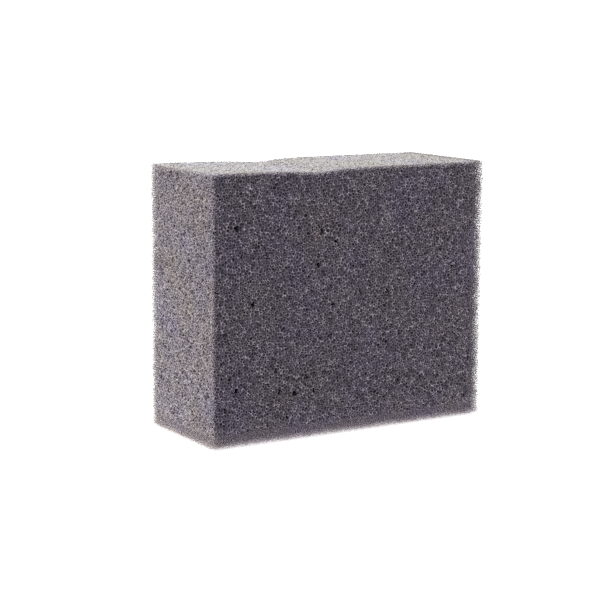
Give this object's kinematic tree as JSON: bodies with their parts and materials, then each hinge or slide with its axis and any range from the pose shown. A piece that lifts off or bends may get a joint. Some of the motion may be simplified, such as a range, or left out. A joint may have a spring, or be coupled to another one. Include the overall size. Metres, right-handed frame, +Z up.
{
  "type": "sponge filter",
  "caption": "Rectangular block of charcoal open-cell foam that strains water in a pond or aquarium filter; its cut top has a shallow wave from front to back.",
  "frame": {"origin": "middle of the base, on the surface that the block stands on", "axes": "+Z up; +X along the block's width, to the right seen from the front; +Y from the front face to the back face, which is the way that the water flows"},
  "size_m": [0.12, 0.048, 0.1],
  "materials": {
    "foam": "matte"
  },
  "bodies": {
    "root": {"foam_block": "foam"}
  },
  "joints": []
}
